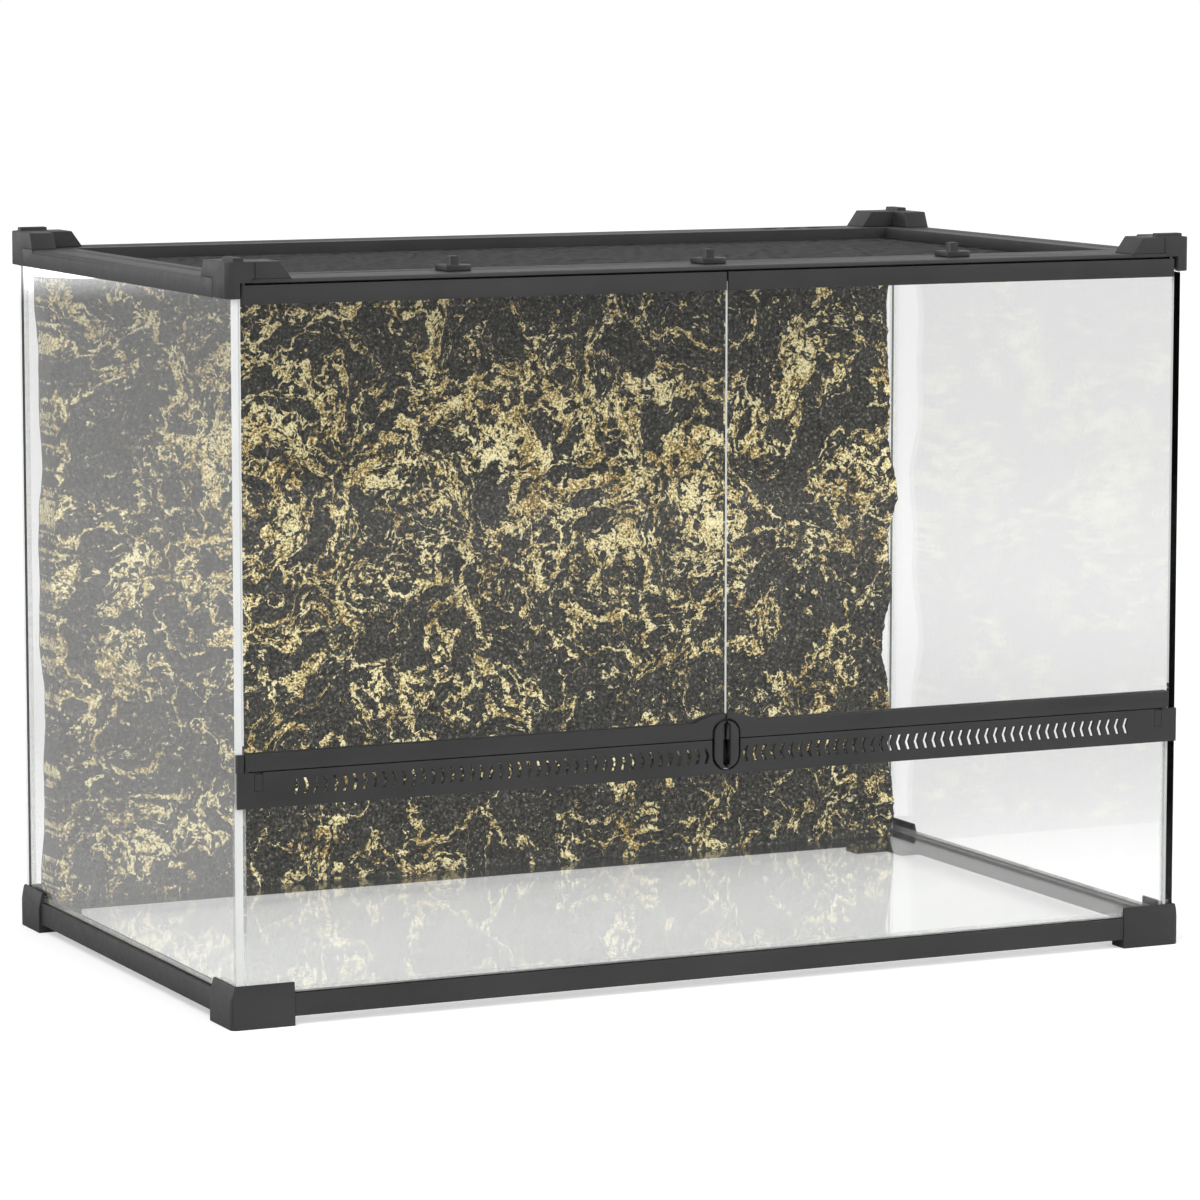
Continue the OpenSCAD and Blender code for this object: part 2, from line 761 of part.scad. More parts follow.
module door_magnet(side) {
    color(steel) on_side(side) translate([magnet_x, -magnet_face, magnet_z]) rotate([90, 0, 0])
        cylinder(h = magnet_t, r = magnet_r);
}

// ---- nodes ----

foot(-1, -1);  // foot_front_left
foot(1, -1);  // foot_front_right
foot(-1, 1);  // foot_rear_left
foot(1, 1);  // foot_rear_right
base_rail_long(-1);  // base_rail_front
base_rail_long(1);  // base_rail_rear
base_rail_short(-1);  // base_rail_left
base_rail_short(1);  // base_rail_right
floor_glass();
side_glass(-1);  // left_glass
side_glass(1);  // right_glass
rear_glass();
lower_front_glass();
silicone_joints();
vent_strip();
hinge_keeper(-1);  // hinge_keeper_left
hinge_keeper(1);  // hinge_keeper_right
hinge_cap();  // hinge_cap_left
hinge_pins();
catch_strikers();
top_rail_front();
top_rail_rear();
top_rail_side(-1);  // top_rail_left
top_rail_side(1);  // top_rail_right
corner_block(-1, -1);  // corner_front_left
corner_block(1, -1);  // corner_front_right
corner_block(-1, 1);  // corner_rear_left
corner_block(1, 1);  // corner_rear_right
rock_background();
lid_frame();
lid_mesh();
lid_clip(-1);  // lid_clip_left
lid_clip(0);  // lid_clip_centre
lid_clip(1);  // lid_clip_right
cable_shutter(0);  // cable_shutter_inner
cable_shutter(1);  // cable_shutter_middle
cable_shutter(2);  // cable_shutter_outer
door_glass(-1);  // left_door_glass
door_top_rail(-1);  // left_door_top_rail
door_bottom_rail(-1);  // left_door_bottom_rail
door_pull(-1);  // left_door_pull
door_magnet(-1);  // left_door_magnet
door_glass(1);  // right_door_glass
door_top_rail(1);  // right_door_top_rail
door_bottom_rail(1);  // right_door_bottom_rail
door_pull(1);  // right_door_pull
door_magnet(1);  // right_door_magnet
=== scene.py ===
# %% [markdown]
# # A glass terrarium, dressed around its engineering model
#
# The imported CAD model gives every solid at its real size. This lesson adds what a
# photographer would see: soft mould edges, satin plastic, clear panes with ground edges,
# a woven screen in the lid and a cast rock panel behind the glass. Each step says what the
# real piece is, how it could be made, and why this way was chosen.

# %% Load the frame
import json
import math

import bmesh
import bpy
from mathutils import Euler, Matrix, Vector

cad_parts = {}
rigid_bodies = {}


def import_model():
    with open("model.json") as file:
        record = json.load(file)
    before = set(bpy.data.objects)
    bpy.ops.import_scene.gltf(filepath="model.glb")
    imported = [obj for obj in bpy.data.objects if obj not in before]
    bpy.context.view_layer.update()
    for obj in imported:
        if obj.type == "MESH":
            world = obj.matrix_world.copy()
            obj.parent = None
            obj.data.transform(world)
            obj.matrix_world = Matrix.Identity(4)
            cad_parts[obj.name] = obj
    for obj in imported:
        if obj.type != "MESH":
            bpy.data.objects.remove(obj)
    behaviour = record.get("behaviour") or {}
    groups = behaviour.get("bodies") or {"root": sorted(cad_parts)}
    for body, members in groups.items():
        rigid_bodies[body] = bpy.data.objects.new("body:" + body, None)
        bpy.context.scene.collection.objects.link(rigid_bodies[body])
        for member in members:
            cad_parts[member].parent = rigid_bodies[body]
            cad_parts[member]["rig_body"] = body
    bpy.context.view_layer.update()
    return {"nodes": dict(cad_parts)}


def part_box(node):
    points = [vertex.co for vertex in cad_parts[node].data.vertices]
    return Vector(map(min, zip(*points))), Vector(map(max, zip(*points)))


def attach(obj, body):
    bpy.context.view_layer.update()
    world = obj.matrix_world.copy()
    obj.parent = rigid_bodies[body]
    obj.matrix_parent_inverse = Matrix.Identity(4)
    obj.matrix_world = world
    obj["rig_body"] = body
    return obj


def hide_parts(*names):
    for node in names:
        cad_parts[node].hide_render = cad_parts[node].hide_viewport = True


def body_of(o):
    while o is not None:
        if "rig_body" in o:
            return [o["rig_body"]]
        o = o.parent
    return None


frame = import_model()
nodes = frame["nodes"]
scene = bpy.context.scene
MM = 0.001

# %% [markdown]
# ## The camera
#
# A long lens from low on the left keeps the frame's upright edges upright and shows the
# doors, the left pane and a thin slice of the lid. The angles and the place were solved
# from the frame's own straight edges, so they are written here as plain numbers.

# %% Camera
CAMERA_AT = (-1.7510, -3.7389, 0.7800)
CAMERA_TURN = 25.164
CAMERA_TILT = 7.065
SENSOR_WIDTH = 36.0
LENS = 157.67


def make_camera():
    """A camera that stands at CAMERA_AT, turned to the right and tilted down."""
    data = bpy.data.cameras.new("camera")
    data.sensor_width = SENSOR_WIDTH
    data.lens = LENS
    data.clip_end = 60.0
    camera = bpy.data.objects.new("camera", data)
    scene.collection.objects.link(camera)
    camera.location = CAMERA_AT
    camera.rotation_euler = Euler(
        (math.radians(90 - CAMERA_TILT), 0, math.radians(-CAMERA_TURN))
    )
    scene.camera = camera
    return camera


camera = make_camera()
scene.view_settings.view_transform = "Standard"
print("camera lens", camera.data.lens, "mm")

# %% [markdown]
# ## Building node trees in code
#
# Every finish below is a small node tree. A few helpers keep the recipes short: `add` makes
# a node and fills its inputs with a number, a colour or another node's output, `calc` does
# one sum, `noise` gives a pattern, `ramp` turns a value into a colour and `spread` maps one
# range onto another.


# %% Node helpers
def add(tree, kind, inputs=None, **settings):
    """A new node; an input is a plain value, or an output socket to link from."""
    made = tree.nodes.new(kind)
    for name, value in settings.items():
        setattr(made, name, value)
    for name, value in (inputs or {}).items():
        if isinstance(value, bpy.types.NodeSocket):
            tree.links.new(value, made.inputs[name])
        else:
            made.inputs[name].default_value = value
    return made


def calc(tree, operation, first, second=0.0, third=0.0, clamp=False):
    """The output of one Math node."""
    made = add(tree, "ShaderNodeMath", operation=operation, use_clamp=clamp)
    for index, value in enumerate((first, second, third)):
        if isinstance(value, bpy.types.NodeSocket):
            tree.links.new(value, made.inputs[index])
        else:
            made.inputs[index].default_value = value
    return made.outputs[0]


def noise(tree, place, scale, detail=3.0, rough=0.5):
    """The value of a noise pattern; scale is in features per metre."""
    made = add(tree, "ShaderNodeTexNoise", {"Vector": place, "Scale": scale,
               "Detail": detail, "Roughness": rough})
    return made.outputs["Fac"]


def ramp(tree, value, stops):
    """A colour ramp: stops are (position, colour)."""
    made = add(tree, "ShaderNodeValToRGB", {"Fac": value})
    band = made.color_ramp
    while len(band.elements) < len(stops):
        band.elements.new(0.5)
    for element, (position, colour) in zip(band.elements, stops):
        element.position = position
        element.color = (*colour, 1.0)
    return made.outputs["Color"]


def spread(tree, value, low, high, to_low=0.0, to_high=1.0, smooth=False):
    """Maps low..high to to_low..to_high, clamped."""
    made = add(tree, "ShaderNodeMapRange", {
        "Value": value, "From Min": low, "From Max": high, "To Min": to_low, "To Max": to_high,
    }, interpolation_type="SMOOTHSTEP" if smooth else "LINEAR", clamp=True)
    return made.outputs["Result"]


def blank_material(name):
    """A material with an empty tree, its Principled shader and object coordinates."""
    material = bpy.data.materials.new(name)
    material.use_nodes = True
    tree = material.node_tree
    tree.nodes.clear()
    surface = add(tree, "ShaderNodeBsdfPrincipled")
    output = add(tree, "ShaderNodeOutputMaterial")
    tree.links.new(surface.outputs["BSDF"], output.inputs["Surface"])
    coords = add(tree, "ShaderNodeTexCoord")
    return material, tree, surface, coords


def surface_output(tree, shader):
    """Makes a shader the one that the material shows."""
    output = next(node for node in tree.nodes if node.type == "OUTPUT_MATERIAL")
    tree.links.new(shader, output.inputs["Surface"])


def bump(tree, surface, height, distance, strength=1.0):
    """Feeds a height in 0..1 to the shader's normal; distance is in metres."""
    made = add(tree, "ShaderNodeBump", {"Height": height, "Strength": strength,
               "Distance": distance})
    tree.links.new(made.outputs["Normal"], surface.inputs["Normal"])


print("node helpers ready")

# %% [markdown]
# ## The studio
#
# Black plastic and clear glass show almost nothing but their surroundings. The world is
# white wherever the camera looks and wherever the glass lets it look. In mirrors it is
# white at the sides and above, a little dimmer behind and dim in front, as in a studio
# where the camera stands in a dark room, so the doors stay clear. On the left it is
# brighter, as if a white wall stood there, which turns the frame's left faces paler than
# its front. For matt surfaces it is a soft fill, and two softboxes model them.

# %% Studio: world
WORLD_FILL = 0.55
DIM_FRONT = 0.12
DIM_BEHIND = 0.72
BRIGHT_LEFT = 1.9


def seen_ray(path, tree):
    """1 for a ray from the camera or through glass, and 0 for the others."""
    return calc(tree, "MAXIMUM", path.outputs["Is Camera Ray"],
                path.outputs["Is Transmission Ray"])


def make_world():
    """A world whose strength depends on the kind of ray and, in mirrors, on its way."""
    world = bpy.data.worlds.new("studio")
    world.use_nodes = True
    tree = world.node_tree
    tree.nodes.clear()
    path = tree.nodes.new("ShaderNodeLightPath")
    coords = tree.nodes.new("ShaderNodeTexCoord")
    way = add(tree, "ShaderNodeSeparateXYZ", {"Vector": coords.outputs["Generated"]})
    forward = calc(tree, "MULTIPLY", way.outputs["Y"], -1.0)
    ahead = spread(tree, forward, 0.25, 0.8, 1.0, DIM_FRONT, smooth=True)
    behind = spread(tree, forward, -0.9, -0.3, DIM_BEHIND, 1.0)
    mirrored = calc(tree, "MINIMUM", ahead, behind)
    left = spread(tree, way.outputs["X"], -0.45, -0.10, BRIGHT_LEFT, 1.0, smooth=True)
    mirrored = calc(tree, "MULTIPLY", mirrored, left)
    lit = spread(tree, path.outputs["Is Glossy Ray"], 0, 1, WORLD_FILL, mirrored)
    strength = spread(tree, seen_ray(path, tree), 0, 1, lit, 1.0)
    sky = add(tree, "ShaderNodeBackground", {"Color": (1, 1, 1, 1), "Strength": strength})
    output = tree.nodes.new("ShaderNodeOutputWorld")
    tree.links.new(sky.outputs[0], output.inputs["Surface"])
    scene.world = world


make_world()
print("world: fill", WORLD_FILL, "dim front", DIM_FRONT, "bright left", BRIGHT_LEFT)

# %% [markdown]
# ## The floor and the softboxes
#
# The floor is a matt white sheet that keeps the tank's contact shadow. Farther out it
# glows a little, for the camera and through glass only, so that it runs into the white
# background without a horizon line. Seen through glass it glows more near the tank,
# because a real tank stands on a lit table and its floor stays bright. In mirrors the part
# in front is dark, as if a black cloth lay under the camera, or the doors would mirror a
# bright floor, and a strip far behind is bright, which lightens the top frame's left faces.

# %% Studio: floor and lamps
FLOOR_COLOUR = (0.80, 0.80, 0.80)
FLOOR_PALE = (0.81, 0.81, 0.81)
FLOOR_SIZE = 40.0
GLOW_UNDER = 0.73
GLOW_UNDER_FAR = 0.41
GLOW_NEAR = 0.42
GLOW_FAR = 0.62
GLOW_MIRRORED = 2.3
STRIP_BEHIND = (7.4, 8.4)
FLOOR_MIRRORED = 0.85
CLOTH_MIRRORED = 0.10
CLOTH_EDGE = (-0.85, -0.45)
SOFTBOX_SIZE = 1.6
SOFTBOX_AIM = (0, 0, 0.3)
SOFTBOXES = (
    ("softbox_top_left", (-2.4, -2.2, 2.6), 85.0),
    ("softbox_front", (1.4, -3.6, 1.2), 125.0),
)


def make_floor():
    """A square sheet just under the feet, with a tone for each kind of ray."""
    mesh = bpy.data.meshes.new("studio_floor")
    half = FLOOR_SIZE / 2
    z = -0.1 * MM
    mesh.from_pydata([(-half, -half, z), (half, -half, z), (half, half, z), (-half, half, z)],
                     [], [(0, 1, 2, 3)])
    floor = bpy.data.objects.new("studio_floor", mesh)
    scene.collection.objects.link(floor)
    material, tree, surface, coords = blank_material("studio_floor")
    path = tree.nodes.new("ShaderNodeLightPath")
    grain = noise(tree, coords.outputs["Object"], 3.0)
    tone = ramp(tree, grain, [(0.0, FLOOR_COLOUR), (1.0, FLOOR_PALE)])
    parts = add(tree, "ShaderNodeSeparateXYZ", {"Vector": coords.outputs["Object"]})
    cloth = spread(tree, parts.outputs["Y"], *CLOTH_EDGE, CLOTH_MIRRORED, FLOOR_MIRRORED)
    cloth = spread(tree, path.outputs["Is Glossy Ray"], 0, 1, 1.0, cloth)
    tone = add(tree, "ShaderNodeVectorMath", {0: tone, "Scale": cloth}, operation="SCALE")
    tree.links.new(tone.outputs[0], surface.inputs["Base Color"])
    surface.inputs["Roughness"].default_value = 0.9
    surface.inputs["Specular IOR Level"].default_value = 0.1
    surface.inputs["Emission Color"].default_value = (1, 1, 1, 1)
    away = add(tree, "ShaderNodeVectorMath", {0: coords.outputs["Object"]}, operation="LENGTH")
    glow = spread(tree, away.outputs["Value"], 0.7, 2.6, GLOW_NEAR, GLOW_FAR, smooth=True)
    under = spread(tree, away.outputs["Value"], 0.25, 1.6, GLOW_UNDER, GLOW_UNDER_FAR)
    under = calc(tree, "MULTIPLY", under, path.outputs["Is Transmission Ray"])
    glow = calc(tree, "MULTIPLY", seen_ray(path, tree), calc(tree, "MAXIMUM", glow, under))
    distant = spread(tree, parts.outputs["Y"], *STRIP_BEHIND, 0.0, GLOW_MIRRORED)
    distant = calc(tree, "MULTIPLY", distant, path.outputs["Is Glossy Ray"])
    glow = calc(tree, "MAXIMUM", glow, distant)
    tree.links.new(glow, surface.inputs["Emission Strength"])
    mesh.materials.append(material)


def softbox(name, at, power):
    """A square area lamp that looks at the tank, and that no mirror or glass shows."""
    data = bpy.data.lights.new(name, "AREA")
    data.size = SOFTBOX_SIZE
    data.energy = power
    lamp = bpy.data.objects.new(name, data)
    scene.collection.objects.link(lamp)
    lamp.location = at
    way = Vector(SOFTBOX_AIM) - Vector(at)
    lamp.rotation_euler = way.to_track_quat("-Z", "Y").to_euler()
    lamp.visible_glossy = False
    lamp.visible_transmission = False


make_floor()
for name, at, power in SOFTBOXES:
    softbox(name, at, power)
print("floor", FLOOR_SIZE, "m square,", len(SOFTBOXES), "softboxes")

# %% [markdown]
# ## Finish: moulded black plastic
#
# The frame, rails, doors' edges, feet and clips are injection moulded in black, with a
# fine spark-eroded texture. A flat black would look like a hole, so the colour drifts by a
# few per cent, the roughness carries the grain, and a shallow bump breaks the highlight.

# %% Black plastic
PLASTIC_DARK = (0.023, 0.023, 0.0235)
PLASTIC_LIGHT = (0.033, 0.033, 0.0337)


def moulded_plastic():
    material, tree, surface, coords = blank_material("black_plastic")
    place = coords.outputs["Object"]
    drift = noise(tree, place, 14.0, detail=4.0)
    grain = noise(tree, place, 1400.0, detail=2.0, rough=0.6)
    rub = noise(tree, place, 90.0, detail=5.0, rough=0.7)
    tone = ramp(tree, calc(tree, "MULTIPLY_ADD", grain, 0.3, calc(tree, "MULTIPLY", drift, 0.7)),
                [(0.30, PLASTIC_DARK), (0.70, PLASTIC_LIGHT)])
    tree.links.new(tone, surface.inputs["Base Color"])
    tree.links.new(spread(tree, rub, 0.3, 0.7, 0.42, 0.54), surface.inputs["Roughness"])
    surface.inputs["Specular IOR Level"].default_value = 0.32
    bump(tree, surface, grain, 0.03 * MM, 0.5)
    return material


black_plastic = moulded_plastic()
print("finish:", black_plastic.name)

# %% [markdown]
# ## Finish: float glass with ground edges
#
# A pane is clear through its faces. Ground edges scatter light and draw a pale line, and
# they gather some from the pane, which is given here as a faint glow. The other edges are
# left as cut, and show what lies behind them squeezed into a thin stripe. The mesh of a
# pane is a plain box, so the object-space normal tells an edge from a face, and the place
# tells which edge it is. Lamps and matt light pass straight through by a Transparent
# shader, because glass that bends them leaves what is behind it in the dark. The floor is
# dusty and mirrors less, so a share of plain Refraction is mixed into it.

# %% Glass
GLASS_IOR = 1.45
PANE_CLEAR = (0.965, 0.97, 0.967, 1.0)
GROUND_DARK = (0.40, 0.41, 0.405)
GROUND_PALE = (0.48, 0.49, 0.485)
CUT_MIDDLE = -0.15
CUT_REACH = 0.15
PULL_LOW = 0.166
PULL_HIGH = 0.2085
FLOOR_DUST = 0.30


def ground_part(tree, place):
    """1 where a front pane's edges are ground: not at the left door's end, nor in the pull."""
    parts = add(tree, "ShaderNodeSeparateXYZ", {"Vector": place})
    cut = calc(tree, "COMPARE", parts.outputs["X"], CUT_MIDDLE, CUT_REACH)
    at_pull = calc(tree, "COMPARE", parts.outputs["Z"], (PULL_LOW + PULL_HIGH) / 2,
                   (PULL_HIGH - PULL_LOW) / 2)
    return calc(tree, "SUBTRACT", 1.0, calc(tree, "MAXIMUM", cut, at_pull))


def rear_end(tree, place):
    """1 in the rear half, where a side pane's end is ground."""
    parts = add(tree, "ShaderNodeSeparateXYZ", {"Vector": place})
    return calc(tree, "GREATER_THAN", parts.outputs["Y"], 0.0)


def every_end(tree, place):
    """1 everywhere: all of the pane's edges are ground."""
    return 1.0


def pane_glass(name, thin_axis, ground=None, glow=(0.05, 0.05), dusty=0.0):
    """Clear glass; thin_axis is the axis, 0 to 2, across the pane; ground tells which edges
    are ground, and glow is how much light those gather from the pane, at front and rear."""
    material, tree, surface, coords = blank_material(name)
    place = coords.outputs["Object"]
    smear = noise(tree, place, 18.0, detail=5.0, rough=0.65)
    tint = ramp(tree, smear, [(0.0, (0.922, 0.926, 0.922)), (1.0, (0.944, 0.946, 0.944))])
    rough = spread(tree, smear, 0.50, 0.8, 0.0, 0.012)
    tree.links.new(tint, surface.inputs["Base Color"])
    tree.links.new(rough, surface.inputs["Roughness"])
    surface.inputs["Transmission Weight"].default_value = 1.0
    surface.inputs["IOR"].default_value = GLASS_IOR
    body = surface.outputs["BSDF"]
    if dusty:
        plain = add(tree, "ShaderNodeBsdfRefraction", {"IOR": GLASS_IOR, "Color": tint,
                    "Roughness": rough})
        dull = add(tree, "ShaderNodeMixShader", {"Fac": dusty, 1: body, 2: plain.outputs[0]})
        body = dull.outputs[0]
    clear = add(tree, "ShaderNodeBsdfTransparent", {"Color": PANE_CLEAR})
    path = tree.nodes.new("ShaderNodeLightPath")
    through = calc(tree, "MAXIMUM", path.outputs["Is Shadow Ray"],
                   path.outputs["Is Diffuse Ray"])
    last = add(tree, "ShaderNodeMixShader", {"Fac": through, 1: body, 2: clear.outputs[0]})
    if ground:
        facing = add(tree, "ShaderNodeSeparateXYZ", {"Vector": coords.outputs["Normal"]})
        across = calc(tree, "ABSOLUTE", facing.outputs[thin_axis])
        edge = spread(tree, across, 0.4, 0.6, 1.0, 0.0)
        edge = calc(tree, "MULTIPLY", edge, ground(tree, place))
        parts = add(tree, "ShaderNodeSeparateXYZ", {"Vector": place})
        gathered = spread(tree, parts.outputs["Y"], -0.2, 0.2, glow[0], glow[1])
        frost = add(tree, "ShaderNodeBsdfPrincipled", {
            "Base Color": ramp(tree, smear, [(0.2, GROUND_DARK), (0.8, GROUND_PALE)]),
            "Roughness": 0.5, "Emission Color": (1, 1, 1, 1), "Emission Strength": gathered})
        last = add(tree, "ShaderNodeMixShader", {"Fac": edge, 1: last.outputs[0],
                   2: frost.outputs[0]})
    surface_output(tree, last.outputs[0])
    return material


glass_left = pane_glass("clear_glass_left", 0, ground=every_end, glow=(0.05, 0.65))
glass_right = pane_glass("clear_glass_right", 0, ground=rear_end, glow=(0.65, 0.65))
glass_rear = pane_glass("clear_glass_rear", 1)
glass_front = pane_glass("clear_glass_front", 1, ground=ground_part, glow=(0.30, 0.30))
glass_floor = pane_glass("clear_glass_floor", 2, dusty=FLOOR_DUST)
print("finish: glass, five kinds of pane")

# %% [markdown]
# ## Finishes: silicone and steel
#
# The panes are bonded with clear silicone: a Transparent shader with a little milk in it.
# The hinge pins, strikers and magnets are plain turned or stamped steel.


# %% Silicone and steel
def sealant():
    material, tree, surface, coords = blank_material("silicone")
    cloud = noise(tree, coords.outputs["Object"], 160.0, detail=3.0)
    tone = ramp(tree, cloud, [(0.3, (0.80, 0.81, 0.80)), (0.7, (0.88, 0.89, 0.88))])
    tree.links.new(tone, surface.inputs["Base Color"])
    surface.inputs["Roughness"].default_value = 0.4
    surface.inputs["IOR"].default_value = 1.40
    bump(tree, surface, cloud, 0.2 * MM, 0.3)
    clear = add(tree, "ShaderNodeBsdfTransparent", {"Color": (0.97, 0.975, 0.97, 1.0)})
    thin = add(tree, "ShaderNodeMixShader", {"Fac": spread(tree, cloud, 0.3, 0.7, 0.80, 0.88),
               1: surface.outputs["BSDF"], 2: clear.outputs[0]})
    surface_output(tree, thin.outputs[0])
    return material


def bright_steel():
    material, tree, surface, coords = blank_material("steel")
    stretched = add(tree, "ShaderNodeMapping", {"Vector": coords.outputs["Object"],
                    "Scale": (1.0, 1.0, 12.0)})
    lines = noise(tree, stretched.outputs["Vector"], 400.0, detail=4.0, rough=0.7)
    tone = ramp(tree, lines, [(0.3, (0.46, 0.46, 0.47)), (0.7, (0.62, 0.62, 0.63))])
    tree.links.new(tone, surface.inputs["Base Color"])
    tree.links.new(spread(tree, lines, 0.3, 0.7, 0.24, 0.38), surface.inputs["Roughness"])
    surface.inputs["Metallic"].default_value = 1.0
    return material


silicone = sealant()
steel = bright_steel()
print("finishes:", silicone.name, steel.name)

# %% [markdown]
# ## Soft mould edges
#
# Real mouldings never have a razor edge: a radius of a few tenths of a millimetre catches
# a thin line of light. Each plastic node is copied, its doubled points are merged, flat
# triangles are joined again, and a Bevel modifier rounds what is left. The copy then
# stands for the node. The vent strip keeps its triangles, because its slots would join
# into one face of many sides, and the top rails have edges so short that their bevel is
# clamped. The alternative, a bevel only in the shader, would leave the meshes sharp.

# %% Copy and soften the plastic nodes
SHARP = math.radians(32)
FLAT = math.radians(0.5)
DOUBLED = 0.002 * MM
BEVEL_SEGMENTS = 2


def adopt(name, mesh, body):
    """Links a finished mesh as a piece that rides on a body, and returns it."""
    piece = bpy.data.objects.new(name, mesh)
    scene.collection.objects.link(piece)
    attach(piece, body)
    return piece


def bake_modifiers(source, name):
    """The evaluated mesh of an object, as a new plain mesh; the object is removed."""
    bpy.context.view_layer.update()
    graph = bpy.context.evaluated_depsgraph_get()
    mesh = bpy.data.meshes.new_from_object(source.evaluated_get(graph))
    mesh.name = name
    bpy.data.objects.remove(source)
    return mesh


def smooth_shade(mesh, angle):
    """Smooth shading, but for edges sharper than an angle."""
    mesh.polygons.foreach_set("use_smooth", [True] * len(mesh.polygons))
    mesh.set_sharp_from_angle(angle=angle)


def soften(node, radius, join_flats, clamp):
    """A copy of a CAD node with its edges rounded, which then replaces the node."""
    source = nodes[node]
    body = body_of(source)[0]
    work = bpy.data.objects.new(node + "_work", source.data.copy())
    scene.collection.objects.link(work)
    shape = bmesh.new()
    shape.from_mesh(work.data)
    bmesh.ops.remove_doubles(shape, verts=shape.verts, dist=DOUBLED)
    if join_flats:
        bmesh.ops.dissolve_limit(shape, angle_limit=FLAT, verts=shape.verts, edges=shape.edges)
    for face in shape.faces:
        face.smooth = True
    shape.to_mesh(work.data)
    shape.free()
    edge = work.modifiers.new("mould_radius", "BEVEL")
    edge.width = radius
    edge.segments = BEVEL_SEGMENTS
    edge.limit_method = "ANGLE"
    edge.angle_limit = SHARP
    edge.use_clamp_overlap = clamp
    edge.harden_normals = True
    mesh = bake_modifiers(work, node + "_moulding")
    mesh.materials.clear()
    mesh.materials.append(black_plastic)
    piece = adopt(node + "_moulding", mesh, body)
    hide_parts(node)
    return piece


EDGE_RADII = {
    "foot_": 0.7 * MM, "base_rail_": 0.4 * MM, "top_rail_": 0.35 * MM, "corner_": 0.7 * MM,
    "vent_strip": 0.2 * MM, "hinge_keeper_": 0.2 * MM, "hinge_cap_": 0.2 * MM,
    "lid_frame": 0.4 * MM, "lid_clip_": 0.6 * MM, "cable_shutter_": 0.3 * MM,
    "left_door_top_rail": 0.25 * MM, "left_door_bottom_rail": 0.25 * MM,
    "right_door_top_rail": 0.25 * MM, "right_door_bottom_rail": 0.25 * MM,
    "left_door_pull": 0.5 * MM, "right_door_pull": 0.5 * MM,
}
softened = [soften(name, radius, name != "vent_strip", name.startswith("top_rail_"))
            for name in sorted(nodes) for start, radius in EDGE_RADII.items()
            if name.startswith(start)]
face_count = sum(len(piece.data.polygons) for piece in softened)
print("softened", len(softened), "mouldings,", face_count, "faces")

# %% [markdown]
# ## Dress the remaining CAD nodes
#
# Panes, silicone and steel keep their CAD shape, which is already right, and only get a
# better finish. The panes take the glass that matches the way they face.

# %% Finishes on CAD nodes
GLASS_BY_NODE = {
    "floor_glass": glass_floor, "left_glass": glass_left, "right_glass": glass_right,
    "rear_glass": glass_rear, "lower_front_glass": glass_front,
    "left_door_glass": glass_front, "right_door_glass": glass_front,
}
STEEL_NODES = ("hinge_pins", "catch_strikers", "left_door_magnet", "right_door_magnet")


def dress(node, material):
    """Gives a CAD node another finish and leaves its shape alone."""
    mesh = nodes[node].data
    mesh.materials.clear()
    mesh.materials.append(material)


for name, material in GLASS_BY_NODE.items():
    dress(name, material)
for name in STEEL_NODES:
    dress(name, steel)
dress("silicone_joints", silicone)
print("dressed", len(GLASS_BY_NODE) + len(STEEL_NODES) + 1, "CAD nodes")

# %% [markdown]
# ## The rock panel: one pattern for shape and colour
#
# The background is a cast panel: rough stone relief in charcoal, with ochre and gold
# brushed over whatever stands proud. So colour and shape must come from one pattern.
# Noise nodes give the same values in a Geometry Nodes tree and in a shader tree, and one
# function builds the pattern in both: ragged ridges where a bent noise crosses its middle
# value, which is how cracks and lichen seem to wander.

# %% The ridge pattern, for either kind of tree
PATTERN_SHIFT = (3.7, 1.3, 8.1)
BEND = 0.20


def ridge(tree, value, width):
    """1 where the value is at its middle, falling to 0 at width away."""
    off = calc(tree, "ABSOLUTE", calc(tree, "SUBTRACT", value, 0.5))
    return calc(tree, "SUBTRACT", 1.0, calc(tree, "DIVIDE", off, width), clamp=True)


def stone_pattern(tree, place):
    """Outputs: ridge network 0..1 and crowding 0..1."""
    moved = add(tree, "ShaderNodeVectorMath", {0: place, 1: PATTERN_SHIFT},
                operation="ADD").outputs[0]
    flat = add(tree, "ShaderNodeVectorMath", {0: moved, 1: (1.0, 0.0, 1.0)},
               operation="MULTIPLY").outputs[0]
    bend = add(tree, "ShaderNodeTexNoise", {"Vector": flat, "Scale": 10.0, "Detail": 4.0})
    shift = add(tree, "ShaderNodeVectorMath", {0: bend.outputs["Color"], 1: (0.5, 0.5, 0.5)},
                operation="SUBTRACT").outputs[0]
    bent = add(tree, "ShaderNodeVectorMath", {0: shift, 1: (BEND, BEND, BEND), 2: flat},
               operation="MULTIPLY_ADD").outputs[0]
    crowd = spread(tree, noise(tree, flat, 4.2, detail=2.0), 0.40, 0.62)
    main = ridge(tree, noise(tree, bent, 10.5, detail=6.0, rough=0.60), 0.060)
    side = ridge(tree, noise(tree, bent, 23.0, detail=6.0, rough=0.62), 0.065)
    side = calc(tree, "MULTIPLY", side, calc(tree, "MULTIPLY_ADD", crowd, 0.25, 0.72))
    return calc(tree, "MAXIMUM", main, side), crowd


print("ridge pattern ready")

# %% [markdown]
# ## The rock panel: shape
#
# The panel is cast foam. Its main relief follows the CAD model: two crossing systems of
# ridges and a broad swell, given by a formula that both models share. A slab with a dense
# front grid is built from it in Python, because the plain back and rim need no detail.
# The front starts a little behind the CAD one, which leaves room for the veins.

# %% Slab with a dense front
ROCK_COLUMNS = 356
ROCK_ROWS = 236
RIDGE_SPACING = 59.0
ROCK_LEFT = -378.0
ROCK_RIGHT = 368.0
ROCK_TOP = 525.0
ROCK_DEPTHS = (26.0, 42.0)
VEIN_DEPTH = 2.0


